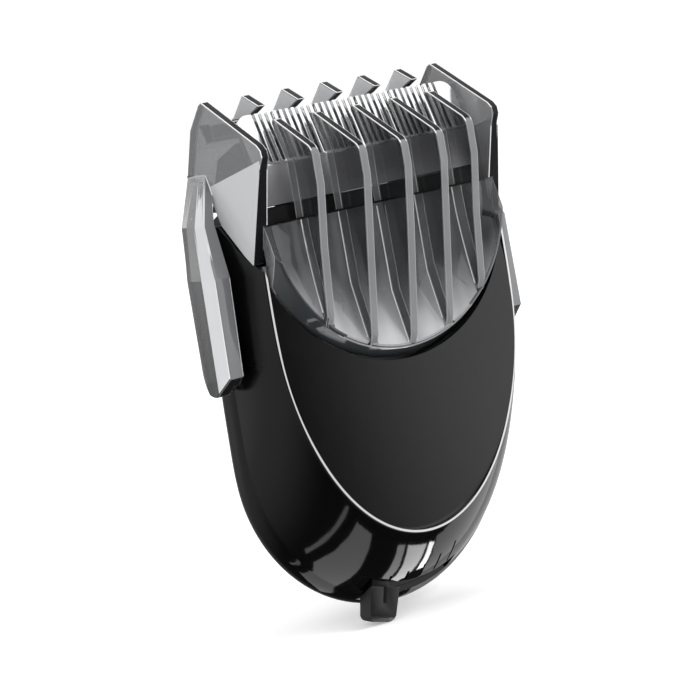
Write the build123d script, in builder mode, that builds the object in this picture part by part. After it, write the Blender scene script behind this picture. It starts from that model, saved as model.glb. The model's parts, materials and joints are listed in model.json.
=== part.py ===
"""Click-on beard trimmer head for a rotary shaver, in millimetres.

Frame: X to the right, Y to the back, Z up. The origin is the centre of the handle socket's mouth.
The body is a lobe round the socket's axis; the blade and the comb stand above it.
A size called a depth is a distance behind the line of the comb's rear tips, so it is negative in front.
Heights on the body are measured from the socket's axis, heights on the comb and blade from the tip line.
"""
from build123d import *
from math import cos, hypot, radians, sin, sqrt
import os

os.makedirs("parts", exist_ok=True)

# ---- Where the comb's tip line stands ---------------------------------------------------------------
TIP_Y = -14.5            # the tip line lies this far in front of the socket's mouth
TIP_Z = 49.5             # and this far above the socket's axis

# ---- Depths of the body's layers, behind the tip line ------------------------------------------------
PANEL_EDGE = -8.0        # front edge of the lobe, where the front cover begins
PANEL_SEAT = -6.9        # front face of the housing's front wall
WALL_BACK = -5.5         # back of that wall
PARTING = 0.6            # front housing and back cover meet here
WIDEST = 3.5
REAR = 10.0              # flat back of the back cover
MOUTH = 14.5             # mouth of the handle socket
WALL = 1.4

# ---- Lobe sections: depth, half width, height of the widest point, bottom, half width at top, top ----
FRONT_SECTION = (PANEL_EDGE, 20.4, 19.0, -13.0, 20.0, 34.6)
MIDDLE_SECTION = (-4.2, 21.6, 11.0, -18.4, 20.4, 34.6)
PARTING_SECTION = (PARTING, 22.5, 3.0, -22.2, 20.8, 34.6)
WIDEST_SECTION = (WIDEST, 22.8, 0.0, -23.6, 20.8, 34.4)
SHOULDER_SECTION = (7.2, 19.6, 0.0, -19.9, 18.0, 31.6)
REAR_SECTION = (REAR, 15.8, 0.0, -16.0, 12.5, 24.0)
NECK_HALF_WIDTH = 18.3
NECK_WALL = 1.2
NECK_FOOT = 26.0         # the wide cavity ends here; the neck's own cavity goes on above
NECK_INSIDE = NECK_HALF_WIDTH - NECK_WALL
NECK_BACK = 4.6
BODY_TOP = 34.6
CHASSIS_BACK = 1.8
REAR_WALL = 1.4
BEHIND = 12.0            # clear of the back cover

# ---- Front cover -----------------------------------------------------------------------------------
LIP = 0.15
TRIM_WIDTH = 0.3
TRIM_FRONT = -8.15
CROWN_RADIUS = 150.0
CROWN_TOP = -9.6         # depth of the cover's highest point
CROWN_HEIGHT = 13.0
SHELL_CENTRE = 32.5      # centre of the comb shell's round lower edge
SHELL_RADIUS = 21.0
SHELL_GAP = 0.25
TRIM_TOP = 27.4

# ---- Length selector ---------------------------------------------------------------------------------
LENGTH_STEPS = 5
COMB_TRAVEL = 4.0
SELECTOR_SWEEP = 30.0    # degrees, from the first mark to the last
TAB_START = -16.0        # the tab's angle from straight down, at the shortest setting
RING_BORE = 8.6
RING_HUB = 8.52
RING_RADIUS = 17.0
RING_FRONT, RING_BACK = -2.2, -1.2
SPIRAL_START = 10.4      # radius of the carrier pin's centre at the shortest setting
CARRIER_PIN_RADIUS = 1.0
SLOT_CLEARANCE = 0.12
SPIRAL_STEPS = 6
TAB_TIP = 25.7
TAB_TOP = (20.7, 22.4)           # radii of the tab's top, at its front and at its back
TAB_HALF_WIDTH = (2.62, 2.15)     # at its top and at its tip
TAB_FRONT, TAB_BACK = -2.25, 0.35
TAB_NOTCH = (-7.9, 7.0)
NECK_HALF = 1.5
NECK_REAR = 0.3
MARK_WIDTH = 0.36
MARK_DEPTH = 0.35
MARK_SPACING = 2.58
MARK_LENGTHS = (1.1, 4.3)        # of the first mark and the last
MARK_SLOPE = (-0.664, 0.747)     # direction up the slope, in depth and height
MARK_FOOT = (-2.75, -69.6)

# ---- Comb carrier, a slider behind the front wall -----------------------------------------------------
CARRIER_BACK = -2.9
CARRIER_THICKNESS = 1.1
ARM_BOTTOM, ARM_TOP = 13.7, 17.9
ARM_BACK = 0.2
ARM_THICKNESS = 1.8

# ---- Comb --------------------------------------------------------------------------------------------
COMB_HALF_WIDTH = 20.0
RIB_THICKNESS = 1.2
RIB_PITCH = (2 * COMB_HALF_WIDTH - RIB_THICKNESS) / 6
TOP_SLOPE = 0.587
RIB_REACH = 15.6         # how far the middle rib stands in front of the tip line
RIB_SWEEP_RADIUS = 45.0  # the rib fronts lie on a cylinder of this radius
FLARE_ANGLE = 4.5        # tilt of the side plate's lower facet
CREASE = ((2.45, -11.3), (-10.9, -8.5))
FACET_EDGE = ((-10.9, -9.8), (-7.1, -21.8), (-5.3, -20.6), (0.0, -16.1))
SIDE_PLATE = (
    (0.3, 0.0),
    (-10.9, -6.55),
    (-11.6, -7.3),
    (-11.7, -8.2),
    (-10.9, -9.8),
    (-7.1, -21.8),
    (-5.3, -20.6),
    (0.0, -16.1),
    (2.45, -11.3),
    (6.9, -9.8),
    (4.0, -3.4),
    (1.0, -0.3),
)
HOOK = ((0.1, 0.0), (-3.4, -1.75), (-1.0, -2.75), (0.6, -5.0), (2.4, -5.4), (3.5, -3.1))
HOOK_BAR = ((0.9, -3.1), (3.3, -3.1), (2.4, -5.5), (0.7, -5.0))
# the dished shell, as radius and depth: its rear face, then its ridged front face
SHELL_BACK = ((0.0, -7.2), (12.0, -7.2), (17.8, -8.0), (21.0, -7.5))
SHELL_FRONT = ((21.0, -8.2), (19.7, -10.2), (19.3, -10.3), (12.0, -8.3), (0.0, -8.1))
SHELL_HALF_WIDTH = 19.45
SHELL_SHOULDER = ((-8.75, -17.0), (-10.4, -22.4))   # the ridge fades above this line
# each wing section: height, inner half width, four depths from front to back, four outer half widths
WING_SECTIONS = (
    (-9.5, 18.9, (2.2, 3.4, 4.8, 6.6), (20.0, 20.0, 20.0, 20.0)),
    (-15.9, 21.6, (-0.4, 1.3, 3.2, 5.2), (23.1, 23.6, 23.7, 23.2)),
    (-22.8, 22.6, (-3.6, -1.1, 1.4, 3.9), (25.0, 25.5, 25.5, 24.6)),
    (-38.6, 23.3, (-3.6, -1.1, 1.4, 3.9), (25.4, 25.9, 25.8, 24.9)),
)

# ---- Blade -------------------------------------------------------------------------------------------
BLADE_TIP = (-4.2, -2.6)
BLADE_ROOT = (-6.9, -9.5)
BLADE_FOOT = -14.7
BLADE_HALF_WIDTH = 18.2
BLADE_THICKNESS = 0.7
CUTTER_THICKNESS = 0.5
TOOTH_PITCH = 0.98
TOOTH_GAP = 0.46
GAP_COUNT = 32
CUTTER_PITCH = 1.4
CUTTER_GAP_COUNT = 22
CUTTER_HALF_WIDTH = 16.2
CUTTER_SPAN = (0.7, 7.0)   # from its tips to its foot, down from the fixed blade's tips
CUTTER_STROKE = 1.05
END_ROUNDING = 1.9
SEAT_FRONT = BLADE_ROOT[0] + BLADE_THICKNESS
CUTTER_BACK = BLADE_THICKNESS + 0.03 + CUTTER_THICKNESS
NOSE_FRONT = CUTTER_BACK + 0.15
NOSE_HALF_WIDTH = 17.6
TONGUE_FOOT = -27.2
BRIDGE_HALF_WIDTH = 5.0
SPRING_SPOT = 11.0
SPRING_WIDTH = 4.0
SPRING_SHEET = 0.22
# the leaf's foot, top and head, each as a distance down from the tips and behind the blade's face
SPRING_ARC = (
    (7.0, NOSE_FRONT + 1.0),
    (5.6, CUTTER_BACK + 0.06),
    (4.2, NOSE_FRONT + 1.0),
)
SCREW_SPOT = (9.94, 24.5)        # the big screws that hold the blade base
NECK_SCREW_SPOT = (14.9, 29.6)   # the screws that close the two shells
NECK_SCREW_HEAD, NECK_SCREW_SHANK = 1.75, 0.88
SCREW_SEAT = 3.6
SCREW_LAND = -5.7                # under the big screws' heads
SCREW_HEAD_RADIUS = 3.6
SCREW_HEAD_HEIGHT = 1.13
SCREW_SHANK_RADIUS = 1.28

# ---- Drive -------------------------------------------------------------------------------------------
LEVER_PIVOT = 16.0       # height of the lever's pivot
LEVER_TOP = 37.2
LEVER_HALF_TOP = 1.45
LEVER_FRONT, LEVER_BACK = 2.2, 3.2
PIN_RADIUS = 1.1
FORK_WIDTH = 4.5         # wide enough for the eccentric wherever it stands: the linkage is open here
CRANK_FRONT, CRANK_BACK = 4.0, 5.2
CRANK_RADIUS = 0.8
ECCENTRIC_RADIUS = 0.6
SOCKET_BORE = 10.5
SOCKET_OUTER = 13.0
SOCKET_FLOOR = 7.5
FLANGE_RADIUS = 14.1
BUSH_OUTER = 4.4
HUB_RADIUS = 3.0
CLIP_WIRE = 0.45
CLIP_DEPTH = 11.6


def across(depth):
    """Plane facing the front at a depth behind the tip line; its axes are X and Z."""
    return Plane(origin=(0, TIP_Y + depth, 0), x_dir=(1, 0, 0), z_dir=(0, -1, 0))


def along(x=0.0):
    """Plane square to X; its axes are depth and height, both measured from the tip line."""
    return Plane(origin=(x, TIP_Y, TIP_Z), x_dir=(0, 1, 0), z_dir=(1, 0, 0))


def level(height):
    """Plane square to Z at a height below the tip line; its axes are X and depth."""
    return Plane(origin=(0, TIP_Y, TIP_Z + height), x_dir=(1, 0, 0), z_dir=(0, 0, 1))


def lobe(section, inset=0.0, top=None):
    """Face of one lobe section: half an ellipse below its widest point, tapering sides above."""
    depth, half_width, widest, bottom, top_half_width, section_top = section
    top = section_top if top is None else top
    steps = 8
    side = []
    for i in range(steps):
        angle = radians(-90 + 90 * i / steps)
        side.append(((half_width - inset) * cos(angle), widest + (widest - bottom - inset) * sin(angle)))
    for i in range(1, steps + 1):
        taper = (half_width - top_half_width) * (i / steps) ** 2
        side.append((half_width - inset - taper, widest + (top - widest) * i / steps))
    points = [(-x, z) for x, z in reversed(side)] + side[1:]
    with BuildSketch(across(depth)) as face:
        with BuildLine():
            Spline(*points)
            Line(points[-1], points[0])
        make_face()
    return face.sketch


def blade_frame():
    """Length of the blade's toothed part and its direction from root to tips, in depth and height."""
    run = BLADE_TIP[0] - BLADE_ROOT[0]
    rise = BLADE_TIP[1] - BLADE_ROOT[1]
    length = hypot(run, rise)
    return length, run / length, rise / length


BLADE_LENGTH, BLADE_RUN, BLADE_RISE = blade_frame()


def blade_plane(behind):
    """Plane of the toothed part, a distance behind its front face; its Y runs to the tips."""
    depth, height = behind_blade(0, behind)
    return Plane(
        origin=(0, TIP_Y + depth, TIP_Z + height), x_dir=(1, 0, 0), z_dir=(0, -BLADE_RISE, BLADE_RUN)
    )


def behind_blade(down, behind):
    """Depth and height of a point down from the blade's tips and behind its front face."""
    return (
        BLADE_TIP[0] - down * BLADE_RUN + behind * BLADE_RISE,
        BLADE_TIP[1] - down * BLADE_RISE - behind * BLADE_RUN,
    )


def moved(section, depth):
    """The same lobe section at another depth."""
    return (depth,) + section[1:]


def disc(depth, radius, centre=(0, 0)):
    """Round face at a depth."""
    with BuildSketch(across(depth)) as face:
        with Locations(centre):
            Circle(radius)
    return face.sketch


def ring_face(depth, outer, inner, centre=(0, 0)):
    """Annular face at a depth."""
    with BuildSketch(across(depth)) as face:
        with Locations(centre):
            Circle(outer)
            Circle(inner, mode=Mode.SUBTRACT)
    return face.sketch


def block(depth, x_range, z_range):
    """Rectangular face at a depth."""
    with BuildSketch(across(depth)) as face:
        with Locations(((x_range[0] + x_range[1]) / 2, (z_range[0] + z_range[1]) / 2)):
            Rectangle(x_range[1] - x_range[0], z_range[1] - z_range[0])
    return face.sketch


def profile(x, *points):
    """Straight-sided face square to X, from depth and height points of the tip line."""
    with BuildSketch(along(x)) as face:
        with BuildLine():
            Polyline(*points, close=True)
        make_face()
    return face.sketch


def save(part, name):
    """Label one finished piece and write it."""
    part.label = name
    export_step(part, f"parts/{name}.step")


# ---- Front housing ---------------------------------------------------------------------------------
# Above this line the housing narrows to its neck, so that the comb's side plates lie flush.
SHOULDER_LINE = (
    (-9.0, -23.4),
    (-7.1, -22.1),
    (-5.3, -20.9),
    (0.0, -16.4),
    (14.0, -16.4),
    (14.0, 0.0),
    (-9.0, 0.0),
)

FRONT_LOBE = (FRONT_SECTION, MIDDLE_SECTION, PARTING_SECTION)

with BuildPart() as front_housing:
    loft(sections=[lobe(section) for section in FRONT_LOBE])
    loft(
        sections=[
            lobe(moved(MIDDLE_SECTION, WALL_BACK), WALL + 0.5, NECK_FOOT),
            lobe(MIDDLE_SECTION, WALL, NECK_FOOT),
            lobe(PARTING_SECTION, WALL, NECK_FOOT),
        ],
        mode=Mode.SUBTRACT,
    )
    # seat of the front cover and its trim
    extrude(lobe(moved(FRONT_SECTION, PANEL_SEAT), LIP), amount=4, mode=Mode.SUBTRACT)
    # neck: its sides step in, and its own cavity is open at the top
    for side in (1, -1):
        extrude(profile(side * NECK_HALF_WIDTH, *SHOULDER_LINE), amount=side * 8, mode=Mode.SUBTRACT)
    extrude(
        block(PARTING, (-NECK_INSIDE, NECK_INSIDE), (NECK_FOOT - 1, BODY_TOP + 1)),
        amount=PARTING - WALL_BACK,
        mode=Mode.SUBTRACT,
    )
    # bosses for the two big screws, with counterbores for their heads
    for side in (1, -1):
        spot = (side * SCREW_SPOT[0], SCREW_SPOT[1])
        extrude(disc(SCREW_LAND + 1.4, SCREW_HEAD_RADIUS + 1.0, spot), amount=1.3)
        extrude(disc(SCREW_LAND, SCREW_HEAD_RADIUS + 0.25, spot), amount=2, mode=Mode.SUBTRACT)
        extrude(disc(SCREW_LAND + 1.7, SCREW_SHANK_RADIUS + 0.17, spot), amount=3, mode=Mode.SUBTRACT)
        spot = (side * NECK_SCREW_SPOT[0], NECK_SCREW_SPOT[1])
        extrude(disc(PARTING, NECK_SCREW_HEAD + 0.15, spot), amount=PARTING - WALL_BACK + 0.2)
        extrude(disc(PARTING, NECK_SCREW_SHANK + 0.02, spot), amount=4, mode=Mode.SUBTRACT)
    # rails beside the comb carrier's tongue
    for side in (1, -1):
        extrude(block(-2.95, (side * 7.9 - 0.5, side * 7.9 + 0.5), (4.0, 13.0)), amount=2.65)
    # notch for the selector tab, and side notches for the comb carrier's arms
    tab_notch = block(PARTING, TAB_NOTCH, (-30, -12))
    extrude(tab_notch, amount=PARTING - TAB_FRONT + 0.15, mode=Mode.SUBTRACT)
    arm_window = (ARM_BOTTOM - 0.3, ARM_TOP + COMB_TRAVEL + 0.3)
    for side in (1, -1):
        window = block(PARTING, (side * 21 - 4, side * 21 + 4), arm_window)
        extrude(window, amount=PARTING + ARM_THICKNESS + 0.2, mode=Mode.SUBTRACT)

# ---- Length marks, each longer than the one before, following the lobe's slope ------------------------
with BuildPart() as marks:
    loft(sections=[lobe(section) for section in FRONT_LOBE])
    loft(sections=[lobe(section, MARK_DEPTH) for section in FRONT_LOBE], mode=Mode.SUBTRACT)
    slabs = []
    for step in range(LENGTH_STEPS):
        x = (step - (LENGTH_STEPS - 1) / 2) * MARK_SPACING
        length = MARK_LENGTHS[0] + (MARK_LENGTHS[1] - MARK_LENGTHS[0]) * step / (LENGTH_STEPS - 1)
        foot = (MARK_FOOT[0], MARK_FOOT[1] + x * x / 40)
        head = (foot[0] + length * MARK_SLOPE[0], foot[1] + length * MARK_SLOPE[1])
        reach = (2 * MARK_SLOPE[1], -2 * MARK_SLOPE[0])
        outline = (
            (foot[0] - reach[0], foot[1] - reach[1]),
            (head[0] - reach[0], head[1] - reach[1]),
            (head[0] + reach[0], head[1] + reach[1]),
            (foot[0] + reach[0], foot[1] + reach[1]),
        )
        face = profile(x - MARK_WIDTH / 2, *outline)
        slabs.append(extrude(face, amount=MARK_WIDTH, mode=Mode.PRIVATE))
    add(slabs, mode=Mode.INTERSECT)

with BuildPart() as marked_housing:
    add(front_housing.part)
    add(marks.part, mode=Mode.SUBTRACT)
save(marked_housing.part, "front_housing")

# ---- Front cover and its trim ------------------------------------------------------------------------
with BuildPart() as front_cover:
    extrude(lobe(moved(FRONT_SECTION, PANEL_SEAT), LIP + TRIM_WIDTH + 0.05), amount=4)
    with Locations((0, TIP_Y + CROWN_TOP + CROWN_RADIUS, CROWN_HEIGHT)):
        Sphere(CROWN_RADIUS, mode=Mode.INTERSECT)
    extrude(disc(PANEL_SEAT, SHELL_RADIUS + SHELL_GAP, (0, SHELL_CENTRE)), amount=4, mode=Mode.SUBTRACT)
    extrude(block(PANEL_SEAT, (-30, 30), (TRIM_TOP, 50)), amount=4, mode=Mode.SUBTRACT)
save(front_cover.part, "front_cover")

with BuildPart() as trim_ring:
    extrude(lobe(moved(FRONT_SECTION, PANEL_SEAT), LIP), amount=PANEL_SEAT - TRIM_FRONT)
    extrude(lobe(moved(FRONT_SECTION, PANEL_SEAT), LIP + TRIM_WIDTH), amount=4, mode=Mode.SUBTRACT)
    extrude(block(PANEL_SEAT, (-30, 30), (TRIM_TOP, 50)), amount=4, mode=Mode.SUBTRACT)
save(trim_ring.part, "trim_ring")

# ---- Back cover --------------------------------------------------------------------------------------
with BuildPart() as back_cover:
    loft(sections=[lobe(s) for s in (PARTING_SECTION, WIDEST_SECTION, SHOULDER_SECTION, REAR_SECTION)])
    loft(
        sections=[
            lobe(PARTING_SECTION, WALL, NECK_FOOT),
            lobe(WIDEST_SECTION, WALL + 0.2, NECK_FOOT),
            lobe(moved(SHOULDER_SECTION, SHOULDER_SECTION[0] - 0.6), WALL + 0.6, NECK_FOOT - 2),
            lobe(moved(REAR_SECTION, REAR - REAR_WALL), WALL, NECK_FOOT - 5),
        ],
        mode=Mode.SUBTRACT,
    )
    # step that the chassis drops into
    step_face = lobe(moved(PARTING_SECTION, CHASSIS_BACK), WALL - 0.55, NECK_FOOT)
    extrude(step_face, amount=3, mode=Mode.SUBTRACT)
    for side in (1, -1):
        extrude(profile(side * NECK_HALF_WIDTH, *SHOULDER_LINE), amount=side * 8, mode=Mode.SUBTRACT)
    extrude(
        block(NECK_BACK, (-NECK_INSIDE, NECK_INSIDE), (NECK_FOOT - 1, BODY_TOP + 1)),
        amount=5,
        mode=Mode.SUBTRACT,
    )
    for side in (1, -1):
        spot = (side * NECK_SCREW_SPOT[0], NECK_SCREW_SPOT[1])
        extrude(disc(NECK_BACK, NECK_SCREW_HEAD + 0.55, spot), amount=NECK_BACK - PARTING)
        extrude(disc(BEHIND, NECK_SCREW_SHANK + 0.17, spot), amount=13, mode=Mode.SUBTRACT)
        extrude(disc(BEHIND, NECK_SCREW_HEAD + 0.2, spot), amount=BEHIND - SCREW_SEAT, mode=Mode.SUBTRACT)
    extrude(disc(BEHIND, SOCKET_OUTER + 0.02), amount=8, mode=Mode.SUBTRACT)
save(back_cover.part, "back_cover")

with BuildPart() as housing_screws:
    for side in (1, -1):
        spot = (side * NECK_SCREW_SPOT[0], NECK_SCREW_SPOT[1])
        extrude(disc(SCREW_SEAT + 1.0, NECK_SCREW_HEAD, spot), amount=1.0)
        extrude(disc(SCREW_SEAT, NECK_SCREW_SHANK, spot), amount=SCREW_SEAT - PARTING + 3)
        with BuildSketch(across(SCREW_SEAT + 1.0)):
            with Locations(spot):
                Rectangle(2.2, 0.5)
                Rectangle(0.5, 2.2)
        extrude(amount=0.55, mode=Mode.SUBTRACT)
save(housing_screws.part, "housing_screws")

# ---- Coupling to the shaver's neck -------------------------------------------------------------------
with BuildPart() as handle_socket:
    extrude(disc(MOUTH, SOCKET_OUTER), amount=MOUTH - SOCKET_FLOOR + REAR_WALL)
    extrude(disc(REAR - REAR_WALL, FLANGE_RADIUS), amount=1.2)
    fillet(handle_socket.edges().group_by(Axis.Y)[-1], 0.5)
    extrude(disc(MOUTH, SOCKET_BORE), amount=MOUTH - SOCKET_FLOOR, mode=Mode.SUBTRACT)
    extrude(disc(MOUTH, BUSH_OUTER), amount=12, mode=Mode.SUBTRACT)
    # outer groove for the wire clip, with two windows where it can grip the shaver's neck
    clip_back = CLIP_DEPTH + CLIP_WIRE + 0.1
    groove_width = 2 * CLIP_WIRE + 0.2
    extrude(ring_face(clip_back, 20, SOCKET_OUTER - 1.05), amount=groove_width, mode=Mode.SUBTRACT)
    for side in (1, -1):
        window = block(clip_back, (side * 12 - 2.5, side * 12 + 2.5), (-2.6, 2.6))
        extrude(window, amount=groove_width, mode=Mode.SUBTRACT)
save(handle_socket.part, "handle_socket")

with BuildPart() as retaining_clip:
    with BuildLine(across(CLIP_DEPTH)) as clip_path:
        CenterArc((0, 0), SOCKET_OUTER - 0.52, -60, 300)
    with BuildSketch(Plane(origin=clip_path.line @ 0, z_dir=clip_path.line % 0)):
        Circle(CLIP_WIRE)
    sweep()
save(retaining_clip.part, "retaining_clip")

with BuildPart() as coupling_seal:
    with BuildSketch(Plane(origin=(0, TIP_Y + REAR, 0), x_dir=(1, 0, 0), z_dir=(0, 0, 1))):
        with BuildLine():
            Polyline((13.0, 0.0), (14.2, 0.0), (13.5, 1.0), (13.0, 1.0), close=True)
        make_face()
    revolve(axis=Axis.Y)
save(coupling_seal.part, "coupling_seal")

with BuildPart() as drive_bush:
    extrude(ring_face(SOCKET_FLOOR, BUSH_OUTER, HUB_RADIUS + 0.05), amount=REAR_WALL)
save(drive_bush.part, "drive_bush")

# ---- Chassis between the two shells -------------------------------------------------------------------
with BuildPart() as chassis:
    extrude(
        lobe(moved(PARTING_SECTION, CHASSIS_BACK), WALL - 0.5, NECK_FOOT - 0.1),
        amount=CHASSIS_BACK - PARTING,
    )
    extrude(ring_face(PARTING, RING_HUB, RING_HUB - 1.2), amount=PARTING - RING_FRONT + 0.6)
    extrude(disc(CHASSIS_BACK, PIN_RADIUS + 0.01, (0, LEVER_PIVOT)), amount=5, mode=Mode.SUBTRACT)
    extrude(disc(CHASSIS_BACK, 5.0), amount=5, mode=Mode.SUBTRACT)
    for side in (1, -1):
        extrude(block(CHASSIS_BACK, (side * 14 - 3, side * 14 + 3), (2, 12)), amount=5, mode=Mode.SUBTRACT)
save(chassis.part, "chassis")

with BuildPart() as lever_pivot_pin:
    extrude(disc(LEVER_BACK + 0.1, PIN_RADIUS, (0, LEVER_PIVOT)), amount=LEVER_BACK + 0.1 - PARTING)
    extrude(disc(LEVER_BACK + 0.7, PIN_RADIUS + 0.8, (0, LEVER_PIVOT)), amount=0.6)
save(lever_pivot_pin.part, "lever_pivot_pin")

# ---- Blade base ----------------------------------------------------------------------------------------
with BuildPart() as blade_base:
    extrude(
        profile(
            0,
            (SEAT_FRONT, BLADE_FOOT - 0.1),
            (SEAT_FRONT, -11.7),
            behind_blade(3.6, NOSE_FRONT),
            (-2.6, -6.0),
            (2.4, -7.8),
            (6.0, BLADE_FOOT - 0.1),
        ),
        amount=NOSE_HALF_WIDTH,
        both=True,
    )
    extrude(
        profile(0, (-4.3, BLADE_FOOT), (-4.3, TONGUE_FOOT), (-1.8, TONGUE_FOOT), (-1.8, BLADE_FOOT)),
        amount=12.7,
        both=True,
    )
    # room for the cutter carrier and, from below, the lever
    extrude(
        profile(
            0,
            (-7.5, -7.3),
            (-7.5, -12.4),
            (-4.0, -15.6),
            (3.8, -15.6),
            (3.8, -11.4),
            (-1.7, -9.1),
            (-3.9, -7.3),
        ),
        amount=BRIDGE_HALF_WIDTH + CUTTER_STROKE + 0.4,
        both=True,
        mode=Mode.SUBTRACT,
    )
    for side in (1, -1):
        spot = (side * SCREW_SPOT[0], SCREW_SPOT[1])
        extrude(disc(0, SCREW_SHANK_RADIUS + 0.02, spot), amount=8, mode=Mode.SUBTRACT)
        # pocket of the leaf spring behind the cutter
        extrude(
            profile(
                side * SPRING_SPOT - SPRING_WIDTH / 2 - 0.2,
                behind_blade(3.9, NOSE_FRONT - 0.3),
                behind_blade(7.4, NOSE_FRONT - 0.3),
                behind_blade(7.4, NOSE_FRONT + 1.25),
                behind_blade(3.9, NOSE_FRONT + 1.25),
            ),
            amount=SPRING_WIDTH + 0.4,
            mode=Mode.SUBTRACT,
        )
save(blade_base.part, "blade_base")

with BuildPart() as blade_base_screws:
    for side in (1, -1):
        spot = (side * SCREW_SPOT[0], SCREW_SPOT[1])
        extrude(disc(SCREW_LAND - 0.02, SCREW_HEAD_RADIUS, spot), amount=SCREW_HEAD_HEIGHT)
        extrude(disc(-1.9, SCREW_SHANK_RADIUS, spot), amount=3.9)
        with BuildSketch(across(SCREW_LAND - SCREW_HEAD_HEIGHT + 0.48)):
            with Locations(spot):
                Rectangle(4.2, 0.9)
                Rectangle(0.9, 4.2)
        extrude(amount=2, mode=Mode.SUBTRACT)
save(blade_base_screws.part, "blade_base_screws")

# ---- Fixed blade, cutter and what carries the cutter ---------------------------------------------------
with BuildPart() as fixed_blade:
    extrude(
        profile(
            0,
            BLADE_TIP,
            BLADE_ROOT,
            (BLADE_ROOT[0], BLADE_FOOT),
            (SEAT_FRONT, BLADE_FOOT),
            (SEAT_FRONT, BLADE_ROOT[1] - 0.13),
            behind_blade(0, BLADE_THICKNESS),
        ),
        amount=BLADE_HALF_WIDTH,
        both=True,
    )
    # gaps between the teeth
    with BuildSketch(blade_plane(-1)):
        with Locations((0, -BLADE_LENGTH / 2 + 1.4)):
            with GridLocations(TOOTH_PITCH, 1, GAP_COUNT, 1):
                SlotOverall(BLADE_LENGTH + 2, TOOTH_GAP, rotation=90)
    extrude(amount=-3, mode=Mode.SUBTRACT)
    # rounded ends of the tooth row
    with BuildSketch(blade_plane(-1)):
        Rectangle(60, BLADE_LENGTH, align=(Align.CENTER, Align.CENTER))
        with Locations((0, -BLADE_LENGTH)):
            RectangleRounded(2 * BLADE_HALF_WIDTH, 2 * BLADE_LENGTH, END_ROUNDING, mode=Mode.SUBTRACT)
    extrude(amount=-3, mode=Mode.SUBTRACT)
save(fixed_blade.part, "fixed_blade")

with BuildPart() as cutter:
    with BuildSketch(blade_plane(CUTTER_BACK)):
        with Locations((0, -(CUTTER_SPAN[0] + CUTTER_SPAN[1]) / 2)):
            Rectangle(2 * CUTTER_HALF_WIDTH, CUTTER_SPAN[1] - CUTTER_SPAN[0])
        with Locations((0, -2.5)):
            with GridLocations(CUTTER_PITCH, 1, CUTTER_GAP_COUNT, 1):
                Trapezoid(0.95, 4.2, 86, rotation=180, mode=Mode.SUBTRACT)
    extrude(amount=CUTTER_THICKNESS)
save(cutter.part, "cutter")

with BuildPart() as cutter_carrier:
    extrude(
        profile(
            0,
            behind_blade(5.0, CUTTER_BACK),
            behind_blade(CUTTER_SPAN[1], CUTTER_BACK),
            (-5.3, -11.6),
            (-3.0, -14.4),
            (3.4, -14.4),
            (3.4, -11.8),
            (-2.0, -9.6),
        ),
        amount=BRIDGE_HALF_WIDTH,
        both=True,
    )
    # fork for the lever's upper end
    fork = (LEVER_FRONT - 0.25, LEVER_TOP - TIP_Z + 0.2)
    extrude(
        profile(0, (fork[0], -20), (8, -20), (8, fork[1]), fork),
        amount=LEVER_HALF_TOP + 0.1,
        both=True,
        mode=Mode.SUBTRACT,
    )
save(cutter_carrier.part, "cutter_carrier")

with BuildPart() as cutter_springs:
    for side in (1, -1):
        with BuildSketch(along(side * SPRING_SPOT - SPRING_WIDTH / 2)):
            with BuildLine():
                foot, top, head = [behind_blade(down, behind) for down, behind in SPRING_ARC]
                back = [behind_blade(down, behind + SPRING_SHEET) for down, behind in SPRING_ARC]
                ThreePointArc(foot, top, head)
                Line(head, back[2])
                ThreePointArc(*reversed(back))
                Line(back[0], foot)
            make_face()
        extrude(amount=SPRING_WIDTH)
save(cutter_springs.part, "cutter_springs")

# ---- Drive ---------------------------------------------------------------------------------------------
with BuildPart() as drive_lever:
    with BuildSketch(across(LEVER_BACK)):
        with BuildLine():
            right = [(3.7, -2.6), (3.7, 3.8), (2.0, 8.0), (2.6, LEVER_PIVOT), (LEVER_HALF_TOP, 22.0)]
            right.append((LEVER_HALF_TOP, LEVER_TOP))
            Polyline(*right, *[(-x, z) for x, z in reversed(right)], close=True)
        make_face()
        with Locations((0, LEVER_PIVOT)):
            Circle(2.9)
            Circle(PIN_RADIUS + 0.04, mode=Mode.SUBTRACT)
        with Locations((0, -1.0)):
            Rectangle(FORK_WIDTH, 5.6, mode=Mode.SUBTRACT)
    extrude(amount=LEVER_BACK - LEVER_FRONT)
save(drive_lever.part, "drive_lever")

with BuildPart() as drive_shaft:
    extrude(disc(CRANK_BACK, 4.0), amount=CRANK_BACK - CRANK_FRONT)
    extrude(disc(SOCKET_FLOOR - 0.3, HUB_RADIUS), amount=SOCKET_FLOOR - 0.3 - CRANK_BACK)
    with BuildSketch(across(SOCKET_FLOOR)):
        RegularPolygon(1.7, 6)
    extrude(amount=1.9, mode=Mode.SUBTRACT)
    extrude(disc(CRANK_BACK, ECCENTRIC_RADIUS, (CRANK_RADIUS, 0)), amount=3, mode=Mode.SUBTRACT)
save(drive_shaft.part, "drive_shaft")

with BuildPart() as eccentric_pin:
    extrude(disc(CRANK_BACK, ECCENTRIC_RADIUS, (CRANK_RADIUS, 0)), amount=CRANK_BACK - LEVER_FRONT + 0.1)
save(eccentric_pin.part, "eccentric_pin")

# ---- Length selector ----------------------------------------------------------------------------------
def on_ring(radius, angle):
    """Point in X and height at a radius and an angle in degrees, anticlockwise from +X."""
    return radius * cos(radians(angle)), radius * sin(radians(angle))


def ring_plane(depth):
    """Plane at a depth, turned so that its -Y points at the selector tab."""
    turn = radians(TAB_START)
    return Plane(origin=(0, TIP_Y + depth, 0), x_dir=(cos(turn), 0, sin(turn)), z_dir=(0, -1, 0))


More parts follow.
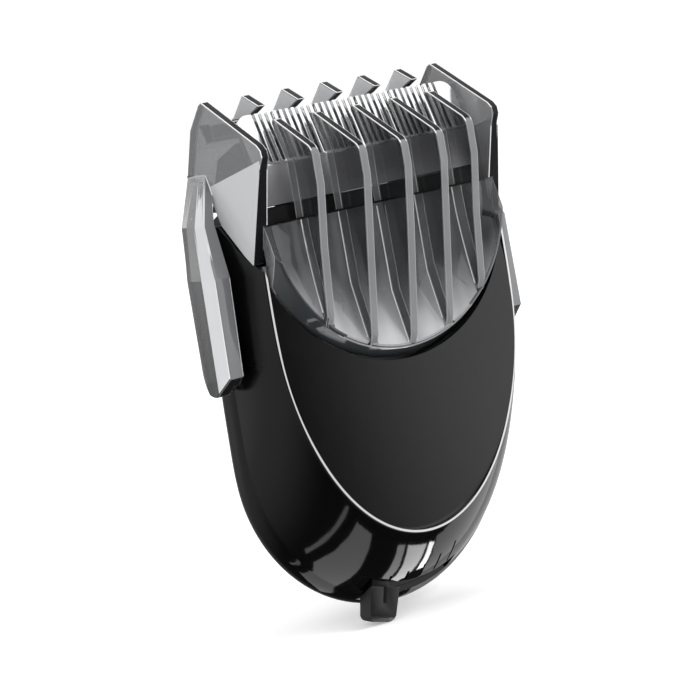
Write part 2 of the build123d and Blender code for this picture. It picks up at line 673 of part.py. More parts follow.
def ring_block(depth, half_width, inner, outer, amount, mode=Mode.ADD):
    """Block on the tab's radius, from one radius to another."""
    with BuildSketch(ring_plane(depth)) as face:
        with Locations((0, -(inner + outer) / 2)):
            Rectangle(2 * half_width, outer - inner)
    return extrude(face.sketch, amount=amount, mode=mode)


with BuildPart() as selector_ring:
    with BuildSketch(across(RING_BACK)):
        Circle(RING_RADIUS)
        Circle(RING_BORE, mode=Mode.SUBTRACT)
        with BuildLine() as spiral:
            Spline(
                *[
                    on_ring(SPIRAL_START + COMB_TRAVEL * share, 90 - SELECTOR_SWEEP * share)
                    for share in [i / SPIRAL_STEPS for i in range(SPIRAL_STEPS + 1)]
                ]
            )
        trace(spiral.line, line_width=2 * (CARRIER_PIN_RADIUS + SLOT_CLEARANCE), mode=Mode.SUBTRACT)
        with Locations(spiral.line @ 0, spiral.line @ 1):
            Circle(CARRIER_PIN_RADIUS + SLOT_CLEARANCE, mode=Mode.SUBTRACT)
        # click notches on the rim, one for each length
        for step in range(LENGTH_STEPS):
            with Locations(on_ring(RING_RADIUS + 0.25, 180 - SELECTOR_SWEEP * step / (LENGTH_STEPS - 1))):
                Circle(0.6, mode=Mode.SUBTRACT)
    extrude(amount=RING_BACK - RING_FRONT)
    # cheeks that guide the tab's neck
    for side in (1, -1):
        with BuildSketch(ring_plane(RING_BACK + 1.3)):
            with Locations((side * (NECK_HALF + 0.75), 1.3 - RING_RADIUS)):
                Rectangle(1.2, 2.6)
        extrude(amount=1.3)
save(selector_ring.part, "selector_ring")

with BuildPart() as selector_tab:
    neck = (RING_RADIUS - 2.0, TAB_TOP[1] + 0.4)
    ring_block(NECK_REAR, NECK_HALF, *neck, NECK_REAR - RING_BACK - 0.15)
    with BuildSketch(Plane(origin=(0, TIP_Y, 0), x_dir=(0, 1, 0), z_dir=ring_plane(0).x_dir)) as head:
        with BuildLine():
            Polyline(
                (TAB_FRONT, -TAB_TOP[0]),
                (TAB_BACK, -TAB_TOP[1]),
                (TAB_BACK, -TAB_TIP),
                (TAB_FRONT + 0.5, -TAB_TIP),
                (TAB_FRONT, -TAB_TIP + 0.9),
                close=True,
            )
        make_face()
    thick = extrude(head.sketch, amount=TAB_HALF_WIDTH[0] + 1, both=True, mode=Mode.PRIVATE)
    with BuildSketch(ring_plane(TAB_BACK)) as front_view:
        with BuildLine():
            Polyline(
                (-TAB_HALF_WIDTH[0], -TAB_TOP[0] + 1),
                (TAB_HALF_WIDTH[0], -TAB_TOP[0] + 1),
                (TAB_HALF_WIDTH[1], -TAB_TIP),
                (-TAB_HALF_WIDTH[1], -TAB_TIP),
                close=True,
            )
        make_face()
        fillet(front_view.vertices().group_by(Axis.Y)[0], 0.9)
    tapered = extrude(front_view.sketch, amount=TAB_BACK - TAB_FRONT, mode=Mode.PRIVATE)
    add(thick & tapered)
    # pointer groove down the front
    ring_block(TAB_FRONT + 0.35, 0.22, TAB_TOP[0] - 1, TAB_TOP[0] + 2.4, 2, Mode.SUBTRACT)
save(selector_tab.part, "selector_tab")

with BuildPart() as selector_spring:
    ring_block(RING_BACK + 1.2, 3.0, RING_RADIUS - 3.0, RING_RADIUS - 2.7, 1.2)
save(selector_spring.part, "selector_spring")

with BuildPart() as detent_spring:
    with BuildSketch(across(RING_BACK - 0.1)):
        with BuildLine() as leaf:
            CenterArc((0, 0), RING_RADIUS + 1.0, 158, 40)
        trace(leaf.line, line_width=0.3)
        with Locations(on_ring(RING_RADIUS + 0.7, 180)):
            Circle(0.55)
        with Locations(Location((*on_ring(RING_RADIUS + 1.4, 157), 0), (0, 0, 157))):
            Rectangle(1.6, 1.6)
    extrude(amount=RING_BACK - RING_FRONT - 0.2)
save(detent_spring.part, "detent_spring")

# ---- Comb carrier ---------------------------------------------------------------------------------------
with BuildPart() as comb_carrier:
    extrude(block(CARRIER_BACK, (-7.3, 7.3), (2.0, ARM_BOTTOM + 1)), amount=CARRIER_THICKNESS)
    extrude(block(CARRIER_BACK, (-18.9, 18.9), (ARM_BOTTOM, ARM_TOP)), amount=CARRIER_THICKNESS)
    for side in (1, -1):
        x_post = (side * 18.05 - 0.85, side * 18.05 + 0.85)
        x_tip = (side * 20.4 - 3.2, side * 20.4 + 3.2)
        post = block(ARM_BACK, x_post, (ARM_BOTTOM, ARM_TOP))
        extrude(post, amount=ARM_BACK - CARRIER_BACK + CARRIER_THICKNESS)
        extrude(block(ARM_BACK, x_tip, (ARM_BOTTOM, ARM_TOP)), amount=ARM_THICKNESS)
    extrude(disc(CARRIER_BACK, CARRIER_PIN_RADIUS, (0, SPIRAL_START)), amount=3, mode=Mode.SUBTRACT)
save(comb_carrier.part, "comb_carrier")

with BuildPart() as carrier_pin:
    pin_back = RING_BACK + 0.3
    pin_front = CARRIER_BACK - CARRIER_THICKNESS
    extrude(disc(pin_back, CARRIER_PIN_RADIUS, (0, SPIRAL_START)), amount=pin_back - pin_front)
save(carrier_pin.part, "carrier_pin")

# ---- Comb -------------------------------------------------------------------------------------------------
def rib_points(x):
    """Outline of one rib, from its rear top round its front to the dished shell."""
    reach = RIB_REACH - (RIB_SWEEP_RADIUS - sqrt(RIB_SWEEP_RADIUS**2 - x * x))
    foot = SHELL_CENTRE - TIP_Z - sqrt((SHELL_RADIUS - 1.5) ** 2 - x * x)
    return (
        (-5.9, -TOP_SLOPE * 5.9 - 0.25),
        (-6.4, -TOP_SLOPE * 6.4),
        (-reach, -TOP_SLOPE * reach),
        (-reach, -12.8),
        (-reach + 1.6, -20.9),
        (-10.9, foot + 1.4),
        (-10.2, foot),
        (-7.6, foot),
        (-7.6, -17.5),
        (-7.75, -9.3),
        (-5.75, -4.3),
    )


with BuildPart() as wing:
    for height, inner, fronts, outers in WING_SECTIONS:
        with BuildSketch(level(height)):
            with BuildLine():
                Polyline(
                    (inner, fronts[0]),
                    (outers[0], fronts[0]),
                    (outers[1], fronts[1]),
                    (outers[2], fronts[2]),
                    (outers[3], fronts[3]),
                    (inner, fronts[3]),
                    close=True,
                )
            make_face()
    loft(ruled=True)
    # side view: slanted cut in front, round end behind
    with BuildSketch(along(0)):
        with BuildLine():
            Polyline((-6, -5), (-6, -34.4), (-3.6, -35.9), (-0.6, -38.3))
            ThreePointArc((-0.6, -38.3), (2.2, -37.6), (3.9, -34.5))
            Polyline((3.9, -34.5), (12, -20), (12, -5), (-6, -5))
        make_face()
    extrude(amount=40, mode=Mode.INTERSECT)
    # groove for the carrier's arm, open at the bottom
    groove = ((ARM_BACK - ARM_THICKNESS - 0.3, -60), (ARM_BACK + 0.3, -60))
    top = ARM_TOP - TIP_Z + 0.15
    extrude(
        profile(20, *groove, (groove[1][0], top), (groove[0][0], top)),
        amount=3.9,
        mode=Mode.SUBTRACT,
    )

# lower facet of the side plate, tilted outwards below its crease
crease_run = CREASE[1][0] - CREASE[0][0]
crease_rise = CREASE[1][1] - CREASE[0][1]
crease_length = hypot(crease_run, crease_rise)
flare = radians(FLARE_ANGLE)
facet_plane = Plane(
    origin=(COMB_HALF_WIDTH, TIP_Y + CREASE[0][0], TIP_Z + CREASE[0][1]),
    x_dir=(0, crease_run, crease_rise),
    z_dir=(cos(flare), sin(flare) * crease_rise / crease_length, -sin(flare) * crease_run / crease_length),
)
with BuildPart() as facet:
    extrude(
        profile(COMB_HALF_WIDTH - RIB_THICKNESS, *CREASE, *FACET_EDGE),
        amount=3,
    )
    split(bisect_by=facet_plane, keep=Keep.BOTTOM)

# ribs and hooks, cut off behind by the shell
shell_axis = Axis((0, TIP_Y, SHELL_CENTRE), (0, 1, 0))
with BuildPart() as ribs:
    for i in range(-2, 3):
        x = i * RIB_PITCH
        extrude(profile(x - RIB_THICKNESS / 2, *rib_points(x)), amount=RIB_THICKNESS)
        extrude(profile(x - RIB_THICKNESS / 2, *HOOK), amount=RIB_THICKNESS)
    with BuildSketch(level(SHELL_CENTRE - TIP_Z)) as behind_shell:
        with BuildLine():
            past_rim = SHELL_RADIUS + 1
            Polyline(*SHELL_BACK, (past_rim, -7.5), (past_rim, -4.5), (0, -4.5), close=True)
        make_face()
    revolve(axis=shell_axis, revolution_arc=180, mode=Mode.SUBTRACT)

# the shell itself, with the ends of its ridge planed off
with BuildPart() as shell:
    with BuildSketch(level(SHELL_CENTRE - TIP_Z)):
        with BuildLine():
            Polyline(*SHELL_BACK, *SHELL_FRONT, close=True)
        make_face()
    revolve(axis=shell_axis, revolution_arc=180)
    shell_top, ridge_front = SHELL_SHOULDER[0][1], SHELL_SHOULDER[1][0]
    limit = profile(0, *SHELL_SHOULDER, (ridge_front, -60), (-6, -60), (-6, shell_top))
    extrude(limit, amount=SHELL_HALF_WIDTH, both=True, mode=Mode.INTERSECT)

with BuildPart() as comb:
    extrude(profile(COMB_HALF_WIDTH - RIB_THICKNESS, *SIDE_PLATE), amount=RIB_THICKNESS)
    add(facet.part)
    add(wing.part)
    mirror(about=Plane.YZ)
    add(ribs.part)
    add(shell.part)
    extrude(profile(0, *HOOK_BAR), amount=COMB_HALF_WIDTH - 0.5, both=True)
save(comb.part, "comb")
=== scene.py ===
import json
import math

import bmesh
import bpy
from mathutils import Matrix, Vector
from mathutils.bvhtree import BVHTree

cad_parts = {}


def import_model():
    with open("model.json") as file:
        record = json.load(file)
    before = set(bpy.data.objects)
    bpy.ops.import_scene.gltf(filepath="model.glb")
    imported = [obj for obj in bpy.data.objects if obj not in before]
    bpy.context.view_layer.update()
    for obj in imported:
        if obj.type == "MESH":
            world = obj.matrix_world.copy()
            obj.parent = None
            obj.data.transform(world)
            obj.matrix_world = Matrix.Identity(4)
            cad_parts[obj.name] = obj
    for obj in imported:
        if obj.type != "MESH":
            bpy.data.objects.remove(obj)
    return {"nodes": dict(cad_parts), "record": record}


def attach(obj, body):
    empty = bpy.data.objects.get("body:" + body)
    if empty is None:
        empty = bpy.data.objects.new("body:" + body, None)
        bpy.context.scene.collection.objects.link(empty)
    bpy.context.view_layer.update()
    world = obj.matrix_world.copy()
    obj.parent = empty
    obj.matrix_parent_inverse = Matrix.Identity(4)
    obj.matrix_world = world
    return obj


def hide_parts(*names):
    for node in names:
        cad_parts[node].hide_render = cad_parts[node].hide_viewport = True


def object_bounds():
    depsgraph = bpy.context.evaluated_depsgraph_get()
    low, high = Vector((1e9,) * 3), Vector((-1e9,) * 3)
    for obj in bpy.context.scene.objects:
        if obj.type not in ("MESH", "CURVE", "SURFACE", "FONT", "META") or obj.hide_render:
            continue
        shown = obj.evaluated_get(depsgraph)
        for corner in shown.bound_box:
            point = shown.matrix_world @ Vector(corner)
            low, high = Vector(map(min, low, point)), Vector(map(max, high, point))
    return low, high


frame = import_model()
nodes = frame["nodes"]
cad_low, cad_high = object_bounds()
MM = 0.001


# ---------------------------------------------------------------- materials

def nodes_of(mat):
    """A material's nodes and links."""
    return mat.node_tree.nodes, mat.node_tree.links


def new_material(name, colour, roughness, **inputs):
    """A Principled material with the given constants on its own sockets."""
    mat = bpy.data.materials.new(name)
    mat.use_nodes = True
    shader = mat.node_tree.nodes["Principled BSDF"]
    shader.inputs["Base Color"].default_value = (*colour, 1)
    shader.inputs["Roughness"].default_value = roughness
    for key, value in inputs.items():
        shader.inputs[key.replace("_", " ")].default_value = value
    return mat


def noise(mat, scale, detail=3.0, stretch=(1, 1, 1)):
    """A noise texture in object coordinates."""
    n, l = nodes_of(mat)
    coord = n.new("ShaderNodeTexCoord")
    mapping = n.new("ShaderNodeMapping")
    mapping.inputs["Scale"].default_value = stretch
    tex = n.new("ShaderNodeTexNoise")
    tex.inputs["Scale"].default_value = scale
    tex.inputs["Detail"].default_value = detail
    l.new(coord.outputs["Object"], mapping.inputs["Vector"])
    l.new(mapping.outputs["Vector"], tex.inputs["Vector"])
    return tex


def vary_roughness(mat, tex, low, high):
    """Roughness that follows a texture between two values."""
    n, l = nodes_of(mat)
    ramp = n.new("ShaderNodeMapRange")
    ramp.inputs["From Min"].default_value = 0.3
    ramp.inputs["From Max"].default_value = 0.7
    ramp.inputs["To Min"].default_value = low
    ramp.inputs["To Max"].default_value = high
    l.new(tex.outputs["Fac"], ramp.inputs["Value"])
    l.new(ramp.outputs["Result"], n["Principled BSDF"].inputs["Roughness"])


def bump(mat, tex, distance, strength=1.0):
    """Fine relief of a texture, with its depth in metres."""
    n, l = nodes_of(mat)
    node = n.new("ShaderNodeBump")
    node.inputs["Distance"].default_value = distance
    node.inputs["Strength"].default_value = strength
    l.new(tex.outputs["Fac"], node.inputs["Height"])
    l.new(node.outputs["Normal"], n["Principled BSDF"].inputs["Normal"])


def by_height(mat, low, high):
    """How far up a point is between two heights in metres, 0 to 1."""
    n, l = nodes_of(mat)
    coord = n.new("ShaderNodeTexCoord")
    split = n.new("ShaderNodeSeparateXYZ")
    ramp = n.new("ShaderNodeMapRange")
    ramp.inputs["From Min"].default_value = low
    ramp.inputs["From Max"].default_value = high
    l.new(coord.outputs["Object"], split.inputs["Vector"])
    l.new(split.outputs["Z"], ramp.inputs["Value"])
    return ramp


def gloss_black():
    """Polished at the bottom of the lobe, a softer gloss beside the comb."""
    mat = new_material("gloss_black", (0.0015, 0.0015, 0.0017), 0.06)
    ramp = by_height(mat, 0.003, 0.016)
    ramp.inputs["To Min"].default_value = 0.06
    ramp.inputs["To Max"].default_value = 0.3
    n, l = nodes_of(mat)
    l.new(ramp.outputs["Result"], n["Principled BSDF"].inputs["Roughness"])
    bump(mat, noise(mat, 350, 2), 0.000004, 0.1)
    return mat


def steel(name, colour, roughness, stretch):
    """A metal whose grain runs across the stretched axis."""
    mat = new_material(name, colour, roughness, Metallic=1.0)
    tex = noise(mat, 900, 4, stretch)
    vary_roughness(mat, tex, roughness * 0.8, roughness * 1.3)
    bump(mat, tex, 0.00001, 0.3)
    return mat


def satin(name, colour, roughness, grain=1400):
    """A plastic with a fine moulded grain."""
    mat = new_material(name, colour, roughness)
    tex = noise(mat, grain, 2)
    vary_roughness(mat, tex, roughness * 0.85, roughness * 1.15)
    bump(mat, tex, 0.00002, 0.35)
    return mat


mats = {
    "gloss_black": gloss_black(),
    "panel_black": satin("panel_black", (0.0018, 0.0017, 0.0018), 0.16, 500),
    "bright_trim": steel("bright_trim", (0.85, 0.85, 0.86), 0.1, (1, 1, 1)),
    "inner_plastic": satin("inner_plastic", (0.03, 0.03, 0.032), 0.5),
    "satin_black": satin("satin_black", (0.012, 0.012, 0.013), 0.35),
    "tab_black": satin("tab_black", (0.012, 0.012, 0.012), 0.42),
    "carrier_plastic": satin("carrier_plastic", (0.62, 0.62, 0.58), 0.4),
    "rubber": satin("rubber", (0.015, 0.015, 0.015), 0.7),
    "steel": steel("steel", (0.6, 0.6, 0.6), 0.25, (1, 1, 1)),
    "dark_screw": steel("dark_screw", (0.8, 0.8, 0.82), 0.4, (1, 1, 1)),
    "bush_metal": steel("bush_metal", (0.6, 0.42, 0.2), 0.35, (1, 1, 1)),
    "blade_steel": steel("blade_steel", (0.85, 0.85, 0.86), 0.2, (1, 8, 1)),
    "cutter_steel": steel("cutter_steel", (0.08, 0.08, 0.085), 0.35, (1, 8, 1)),
    "skirt_steel": steel("skirt_steel", (0.8, 0.8, 0.82), 0.5, (8, 1, 1)),
    "smoked_clear": new_material(
        "smoked_clear", (0.42, 0.43, 0.46), 0.04, Transmission_Weight=1.0, IOR=1.49,
    ),
}

slots = {entry["node"]: entry["material_slot"] for entry in frame["record"]["subparts"]}
for name, obj in nodes.items():
    obj.data.materials.clear()
    obj.data.materials.append(mats[slots[name]])
nodes["cutter"].data.materials[0] = mats["cutter_steel"]
blade = nodes["fixed_blade"].data
blade.materials.append(mats["skirt_steel"])
SKIRT_TOP = 0.0405   # height in metres where the blade's plain skirt ends under its teeth
for face in blade.polygons:
    upright_front = abs(face.normal.z) < 0.2 and face.normal.y < 0
    face.material_index = 1 if upright_front and face.center.z < SKIRT_TOP else 0

bodies = frame["record"]["behaviour"]["bodies"]
BODY_OF = {node: body for body, members in bodies.items() for node in members}

# ---------------------------------------------------------------- comb

# Places on the comb in mm, as half width, depth and height from its tip line.
TIP = Vector((0, -14.5, 49.5))   # the tip line itself, in the row frame
WINGS = 20.6                     # the wings lie outside this half width
PLATE_OUTSIDE = 19.9             # and the side plates' outer faces outside this one
PLATES = 18                      # the side plates as a whole
FACET_TOP = -8                   # the outer facet starts below this height
HOOKS = -4                       # the hooks lie behind this depth
SHELL_CENTRE = -17               # height of the dished shell's centre, level with its flat top
FLOOR_RADIUS = 19.2              # where the shell's floor gives way to its rim
FLOOR_FRONT = -10.45             # the floor lies behind this depth
TWIST_INSIDE, TWIST_BOTTOM = 20.3, -22.7   # the wings' twisted part is outside and above these
SIDEWAYS = 0.2                   # a face whose normal leans this far sideways counts as a wall
FOLD = 24                        # degrees between two faces that make a sharp edge on the comb


def clear_plastic(name, colour, alpha, roughness=0.06, coat=1.0):
    """Smoked plastic, partly see-through by its alpha, under a clear coat."""
    mat = new_material(
        name, colour, roughness, Alpha=alpha, Coat_Weight=coat, Coat_Roughness=0.03, IOR=1.55,
    )
    vary_roughness(mat, noise(mat, 220, 3), roughness * 0.7, roughness * 1.4)
    bump(mat, noise(mat, 60, 1), 0.00004, 0.12)
    return mat


def height_colour(mat, low, high, dark, light, streaks=0.0):
    """Base colour that runs from the light argument's tone low down to the dark argument's tone higher up,
    with upright streaks: painted light and shade.
    """
    n, l = nodes_of(mat)
    ramp = by_height(mat, low, high)
    tex = noise(mat, 130, 1, (2.2, 1, 0.22))
    shift = n.new("ShaderNodeMath")
    shift.operation = "MULTIPLY_ADD"
    shift.inputs[1].default_value = streaks
    l.new(tex.outputs["Fac"], shift.inputs[0])
    l.new(ramp.outputs["Result"], shift.inputs[2])
    colours = n.new("ShaderNodeValToRGB")
    colours.color_ramp.elements[0].position = streaks * 0.4
    colours.color_ramp.elements[1].position = min(1.0, 0.9 + streaks * 0.2)
    colours.color_ramp.elements[0].color = (*light, 1)
    colours.color_ramp.elements[1].color = (*dark, 1)
    l.new(shift.outputs[0], colours.inputs["Fac"])
    l.new(colours.outputs["Color"], n["Principled BSDF"].inputs["Base Color"])


def height_alpha(mat, low, high, alpha_low, alpha_high):
    """Alpha that changes between two heights in metres."""
    n, l = nodes_of(mat)
    ramp = by_height(mat, low, high)
    ramp.inputs["To Min"].default_value = alpha_low
    ramp.inputs["To Max"].default_value = alpha_high
    l.new(ramp.outputs["Result"], n["Principled BSDF"].inputs["Alpha"])


# The comb is one smoked plastic; these copies of it carry painted light and shade by the way each face
# lies: the near-white edge tone, the softer grey edge tone and the light hook, wing-strip and facet tones
# are painted highlights and reflections; the near-black rib-wall, top-edge, rim, wing and dark-edge tones
# are painted shade.
COMB_MATERIALS = (
    clear_plastic("comb_wall", (0.17, 0.173, 0.18), 0.72),
    clear_plastic("comb_edge_highlight", (0.95, 0.95, 0.96), 1.0, 0.12),
    clear_plastic("comb_front_edge", (0.21, 0.214, 0.222), 0.72),
    clear_plastic("comb_floor", (0.3, 0.3, 0.31), 0.52),
    clear_plastic("comb_facet", (0.55, 0.555, 0.57), 0.95, 0.15),
    clear_plastic("comb_wing_front", (0.19, 0.193, 0.2), 0.92),
    clear_plastic("comb_wing", (0.06, 0.061, 0.064), 0.88, 0.12),
    clear_plastic("comb_rib_wall", (0.02, 0.021, 0.023), 0.6),
    clear_plastic("comb_top_edge", (0.006, 0.006, 0.007), 0.97, 0.3, 0.0),
    clear_plastic("comb_hook", (0.66, 0.665, 0.68), 0.9),
    clear_plastic("comb_wing_strip", (0.66, 0.665, 0.68), 0.95),
    clear_plastic("comb_soft_highlight", (0.3, 0.304, 0.312), 0.85, 0.12),
    clear_plastic("comb_rim", (0.028, 0.032, 0.035), 0.95),
    clear_plastic("comb_dark_edge", (0.01, 0.01, 0.011), 0.97, 0.3, 0.0),
)
(
    WALL, EDGE_HIGHLIGHT, FRONT_EDGE, FLOOR, FACET, WING_FRONT, WING, RIB_WALL, TOP_EDGE, HOOK, WING_STRIP,
    SOFT_HIGHLIGHT, RIM, DARK_EDGE,
) = range(len(COMB_MATERIALS))
# The near-black top-edge and dark-edge tones barely reflect: painted shade.
for index in (TOP_EDGE, DARK_EDGE):
    nodes_of(COMB_MATERIALS[index])[0]["Principled BSDF"].inputs["Specular IOR Level"].default_value = 0.12
# Painted light and shade: the floor is painted pale low down and dark higher up, with streaks, and turns
# more see-through upwards; the rib walls turn more opaque, so darker, towards their tops; the wings are
# painted darker low down and lighter higher up.
height_colour(COMB_MATERIALS[FLOOR], 0.0145, 0.032, (0.035, 0.036, 0.04), (0.6, 0.605, 0.62), 0.8)
height_alpha(COMB_MATERIALS[FLOOR], 0.016, 0.03, 0.72, 0.4)
height_alpha(COMB_MATERIALS[RIB_WALL], 0.034, 0.041, 0.42, 0.76)
height_colour(COMB_MATERIALS[WING], 0.012, 0.04, (0.1, 0.101, 0.104), (0.03, 0.03, 0.032), 0.8)


def from_shell_centre(x, height):
    """Distance in mm from the middle of the dished shell, seen from the front."""
    return math.hypot(x, height - SHELL_CENTRE)


def comb_class(centre, normal):
    """Which painted tone of the comb's one plastic a flat face gets, by its place and the way it faces:
    painted light and shade.
    """
    x, depth, height = centre
    is_wall = abs(normal.x) > SIDEWAYS
    if abs(x) > WINGS:
        if normal.z < -0.6:
            return DARK_EDGE
        if normal.y < -0.75:
            return WING_FRONT
        return WING_STRIP if normal.y < -0.1 else WING
    if abs(x) > PLATE_OUTSIDE and 0.9 < abs(normal.x) < 0.9995 and height < FACET_TOP:
        return FACET
    if normal.y < -0.3 and abs(x) < 19.6 and height < SHELL_CENTRE and FLOOR_FRONT < depth:
        return FLOOR if from_shell_centre(x, height) < FLOOR_RADIUS else RIM
    if abs(x) > PLATES:
        return WALL if is_wall else TOP_EDGE
    if depth > HOOKS:
        return HOOK if is_wall else TOP_EDGE
    if is_wall:
        return RIB_WALL
    return TOP_EDGE if normal.z > 0.5 else FRONT_EDGE


def edge_class(centre, normal):
    """Which tone a rounded edge is painted: a painted highlight line above, a softer painted highlight
    along the ribs' fronts.
    """
    x, depth, height = centre
    if abs(x) > WINGS:
        if abs(normal.x) < 0.25 or abs(normal.z) > 0.45:
            return WING_FRONT
        return EDGE_HIGHLIGHT if normal.y < -0.5 else DARK_EDGE
    if abs(height - SHELL_CENTRE) < 0.4 and abs(x) < 19.5 and depth > -10.4:
        return RIB_WALL
    if abs(normal.x) > 0.9 or normal.z < -0.75:
        return SOFT_HIGHLIGHT
    if height < -16.5 and from_shell_centre(x, height) > 18.6:
        return SOFT_HIGHLIGHT if height < -33 else RIM
    if abs(x) < 19 and depth < -10.6 and normal.z < 0.35:
        return SOFT_HIGHLIGHT
    return EDGE_HIGHLIGHT


def merged_solid(node, flat=0.6, tiny=0.04):
    """The CAD solid with its flat faces merged and edges shorter than tiny, in mm, collapsed."""
    bm = bmesh.new()
    bm.from_mesh(nodes[node].data)
    bmesh.ops.remove_doubles(bm, verts=bm.verts, dist=0.001 * MM)
    bmesh.ops.dissolve_limit(bm, angle_limit=math.radians(flat), verts=bm.verts, edges=bm.edges)
    bmesh.ops.dissolve_degenerate(bm, edges=bm.edges, dist=tiny * MM)
    return bm


def sharp_edges(bm, angle):
    """Edges whose two faces meet at more than an angle in degrees."""
    return [e for e in bm.edges if len(e.link_faces) == 2 and e.calc_face_angle(0) > math.radians(angle)]


def round_off(bm, node, edges, offset, **options):
    """Bevel edges by an offset in mm, and pull back every corner that leaves the CAD solid."""
    whole = bmesh.new()
    whole.from_mesh(nodes[node].data)
    surface = BVHTree.FromBMesh(whole)
    bmesh.ops.bevel(
        bm, geom=edges, offset=offset * MM, offset_type="OFFSET", segments=2, profile=0.6,
        affect="EDGES", clamp_overlap=False, **options,
    )
    for vert in bm.verts:
        near, normal, _, distance = surface.find_nearest(vert.co)
        if distance > 3 * offset * MM or (vert.co - near).dot(normal) > 0:
            vert.co = near
    whole.free()


def piece(bm, node, materials, smooth):
    """The rounded copy of a CAD piece as an object that takes its place."""
    mesh = bpy.data.meshes.new(node + "_body")
    bm.to_mesh(mesh)
    bm.free()
    obj = bpy.data.objects.new(node + "_body", mesh)
    bpy.context.collection.objects.link(obj)
    for mat in materials:
        mesh.materials.append(mat)
    mesh.shade_smooth()
    mesh.set_sharp_from_angle(angle=math.radians(smooth))
    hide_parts(node)
    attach(obj, BODY_OF[node])
    return obj


def on_twist(place):
    """Whether a place is on the twisted upper part of a wing, which stays crisp."""
    x, _, height = place / MM - TIP
    return abs(x) > TWIST_INSIDE and height > TWIST_BOTTOM


def across_corner(edge):
    """Whether an edge runs across the upper front corner of a rib or a side plate."""
    start, end = (vert.co / MM - TIP for vert in edge.verts)
    across = abs(start.x - end.x) > 0.9 * edge.calc_length() / MM
    return across and -17 < start.y < -10.8 and -10 < start.z < -6


def comb():
    """The comb's copy, with painted light and shade for every kind of face and painted highlights on its
    rounded edges.
    """
    bm = merged_solid("comb")
    corners = [
        e for e in sharp_edges(bm, FOLD)
        if across_corner(e) and abs(e.verts[0].co.x) < PLATES * MM
    ]
    bmesh.ops.bevel(
        bm, geom=corners, offset=1.0 * MM, offset_type="OFFSET", segments=5, profile=0.5, affect="EDGES",
        clamp_overlap=False,
    )
    for face in bm.faces:
        face.material_index = comb_class(face.calc_center_median() / MM - TIP, face.normal)
    edges = [
        e for e in sharp_edges(bm, FOLD)
        if not across_corner(e) and not on_twist((e.verts[0].co + e.verts[1].co) / 2)
    ]
    # The rounded edges start as the near-white painted highlight; edge_class then repaints each.
    round_off(bm, "comb", edges, 0.15, material=EDGE_HIGHLIGHT)
    for face in bm.faces:
        if face.material_index == EDGE_HIGHLIGHT:
            face.material_index = edge_class(face.calc_center_median() / MM - TIP, face.normal)
    obj = piece(bm, "comb", COMB_MATERIALS, 20)
    for face in obj.data.polygons:
        face.use_smooth = not on_twist(face.center)


def softened(node, offset, angle=35, tiny=0.04):
    """The copy of a piece with its sharp edges rounded by an offset in mm."""
    bm = merged_solid(node, tiny=tiny)
    round_off(bm, node, sharp_edges(bm, angle), offset)
    return piece(bm, node, list(nodes[node].data.materials), 30)


comb()
for node, offset in (
    ("selector_tab", 0.18),
    ("blade_base_screws", 0.12),
    ("housing_screws", 0.08),
    ("handle_socket", 0.12),
    ("comb_carrier", 0.1),
    ("blade_base", 0.12),
):
    softened(node, offset)
softened("fixed_blade", 0.03, 50, 0.001)

# ---------------------------------------------------------------- camera

YAW, PITCH, ROLL = math.radians(34.9), math.radians(6.8), math.radians(9.8)
CAMERA_PLACE = Vector((-0.16850, -0.24930, 0.04874))


def camera():
    """The camera that was solved from the photo."""
    forward = Vector((
        math.sin(YAW) * math.cos(PITCH), math.cos(YAW) * math.cos(PITCH), -math.sin(PITCH),
    ))
    level = Vector((math.cos(YAW), -math.sin(YAW), 0))
    down = forward.cross(level)
    right = math.cos(ROLL) * level + math.sin(ROLL) * down
    up = math.sin(ROLL) * level - math.cos(ROLL) * down
    data = bpy.data.cameras.new("camera")
    data.lens = 111.66
    data.sensor_width = 36
    data.clip_start = 0.01
    cam = bpy.data.objects.new("camera", data)
    bpy.context.collection.objects.link(cam)
    turn = Matrix((right, up, -forward)).transposed()
    cam.matrix_world = Matrix.Translation(CAMERA_PLACE) @ turn.to_4x4()
    bpy.context.scene.camera = cam


camera()

# ---------------------------------------------------------------- studio

def floor():
    """The white ground under the object."""
    mesh = bpy.data.meshes.new("floor")
    size = 3.0   # half its width in metres
    z = cad_low.z
    corners = [(-size, -size, z), (size, -size, z), (size, size, z), (-size, size, z)]
    mesh.from_pydata(corners, [], [(0, 1, 2, 3)])
    obj = bpy.data.objects.new("floor", mesh)
    bpy.context.collection.objects.link(obj)
    mat = new_material(
        "floor", (0.93, 0.93, 0.93), 0.7, Emission_Color=(1, 1, 1, 1), Emission_Strength=0.35,
    )
    obj.data.materials.append(mat)
    obj.visible_glossy = False


def area(name, place, target, size, power):
    """A square area light that faces a target."""
    data = bpy.data.lights.new(name, "AREA")
    data.energy = power
    data.shape = "RECTANGLE"
    data.size = size
    data.size_y = size
    obj = bpy.data.objects.new(name, data)
    bpy.context.collection.objects.link(obj)
    obj.location = place
    obj.rotation_mode = "QUATERNION"
    obj.rotation_quaternion = (Vector(target) - Vector(place)).to_track_quat("-Z", "Y")
    return obj


def quad(name, corners, strength):
    """A glowing card that only reflections see."""
    mesh = bpy.data.meshes.new(name)
    mesh.from_pydata([Vector(c) for c in corners], [], [(0, 1, 2, 3)])
    obj = bpy.data.objects.new(name, mesh)
    bpy.context.collection.objects.link(obj)
    mat = bpy.data.materials.new(name)
    mat.use_nodes = True
    n, l = nodes_of(mat)
    n.remove(n["Principled BSDF"])
    glow = n.new("ShaderNodeEmission")
    glow.inputs["Strength"].default_value = strength
    l.new(glow.outputs["Emission"], n["Material Output"].inputs["Surface"])
    mesh.materials.append(mat)
    obj.visible_camera = False
    obj.visible_diffuse = False
    obj.visible_transmission = False
    obj.visible_shadow = False


def low_quad(name, corners, strength):
    """A card level under the object, from the x and y of its corners."""
    quad(name, [(x, y, CARD_HEIGHT) for x, y in corners], strength)


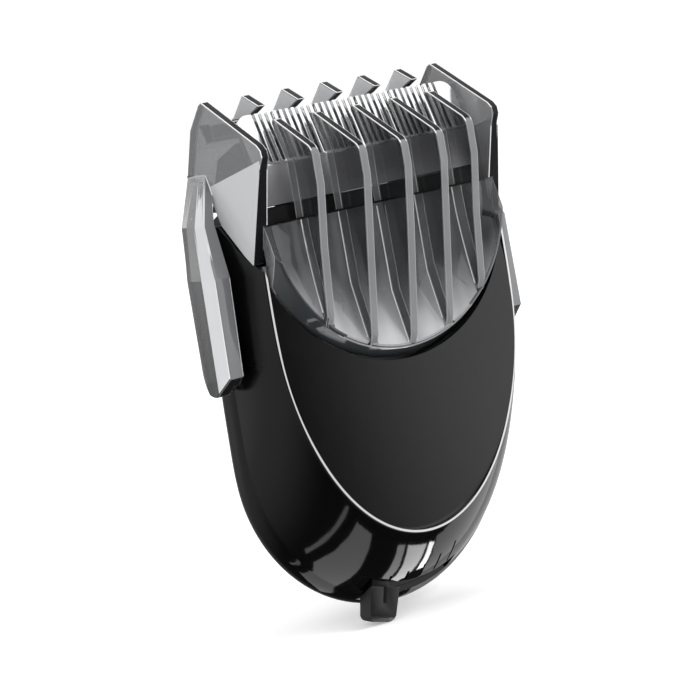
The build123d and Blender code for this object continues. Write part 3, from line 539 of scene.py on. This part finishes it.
def world():
    """White to the camera and through clear plastic, a studio with dark sides to reflections and light."""
    w = bpy.data.worlds.new("studio")
    bpy.context.scene.world = w
    w.use_nodes = True
    n, l = w.node_tree.nodes, w.node_tree.links

    def math_node(operation, a, b=None, clamp=False):
        node = n.new("ShaderNodeMath")
        node.operation = operation
        node.use_clamp = clamp
        for socket, value in zip(node.inputs, (a, b)):
            if value is None:
                continue
            if isinstance(value, (int, float)):
                socket.default_value = value
            else:
                l.new(value, socket)
        return node.outputs[0]

    def towards(direction, far, near):
        """0 outside the angle far from a direction, 1 inside near, in degrees."""
        dot = n.new("ShaderNodeVectorMath")
        dot.operation = "DOT_PRODUCT"
        dot.inputs[1].default_value = Vector(direction).normalized()
        l.new(coord.outputs["Generated"], dot.inputs[0])
        ramp = n.new("ShaderNodeMapRange")
        ramp.interpolation_type = "SMOOTHSTEP"
        ramp.inputs["From Min"].default_value = math.cos(math.radians(far))
        ramp.inputs["From Max"].default_value = math.cos(math.radians(near))
        l.new(dot.outputs["Value"], ramp.inputs["Value"])
        return ramp.outputs["Result"]

    coord = n.new("ShaderNodeTexCoord")
    light = 0.035
    for direction, far, near, strength in (
        ((0.9, -0.43, 0.0), 50, 12, 1.15),
        ((-1.0, 0.1, 0.2), 75, 30, 0.42),
        ((0.0, 0.0, 1.0), 75, 30, 1.0),
        ((0.0, 1.0, 0.1), 75, 30, 0.2),
    ):
        light = math_node("ADD", light, math_node("MULTIPLY", towards(direction, far, near), strength))
    path = n.new("ShaderNodeLightPath")
    seen = math_node("MAXIMUM", path.outputs["Is Camera Ray"], path.outputs["Is Transmission Ray"])
    level = math_node("MAXIMUM", light, seen)
    l.new(level, n["Background"].inputs["Strength"])
    n["Background"].inputs["Color"].default_value = (1, 1, 1, 1)


floor()
world()
centre = (0, -0.01, 0.015)
key = area("key", (0.35, -0.45, 0.42), centre, 0.3, 2.2)
key.visible_glossy = False
area("fill", (-0.5, -0.2, 0.5), centre, 0.3, 0.6)
quad("card_key", ((0.1, -0.6, 0.12), (0.75, -0.35, 0.12), (0.75, -0.2, 0.75), (0.0, -0.5, 0.75)), 1.3)
quad("card_back", ((-0.6, 0.7, 0.15), (0.1, 0.8, 0.15), (0.1, 0.7, 0.8), (-0.6, 0.6, 0.8)), 1.3)

# The low cards are what the light strips on the lobe reflect.
CARD_HEIGHT = -0.35
for name, corners, strength in (
    ("card_wide", ((-0.072, -0.208), (-0.009, -0.183), (0.0, 0.16), (-0.128, 0.0)), 1.5),
    ("card_line", ((-0.127, -0.245), (-0.114, -0.24), (-0.168, -0.01), (-0.184, -0.02)), 1.3),
    ("card_thin", ((0.094, -0.143), (0.122, -0.134), (0.112, 0.1), (0.08, 0.089)), 2.6),
    ("card_light", ((0.135, -0.128), (0.213, -0.092), (0.182, 0.045), (0.125, 0.09)), 5.5),
    ("card_bright", ((0.226, -0.09), (0.252, -0.07), (0.232, 0.049), (0.204, 0.04)), 12),
    ("card_far", ((0.242, 0.1), (1.3, 0.5), (1.6, 2.6), (0.42, 1.2)), 0.6),
    ("card_right", ((0.262, -0.09), (1.3, 0.1), (1.3, 0.5), (0.242, 0.1)), 1.1),
):
    low_quad(name, corners, strength)
bpy.context.scene.view_settings.view_transform = "Standard"
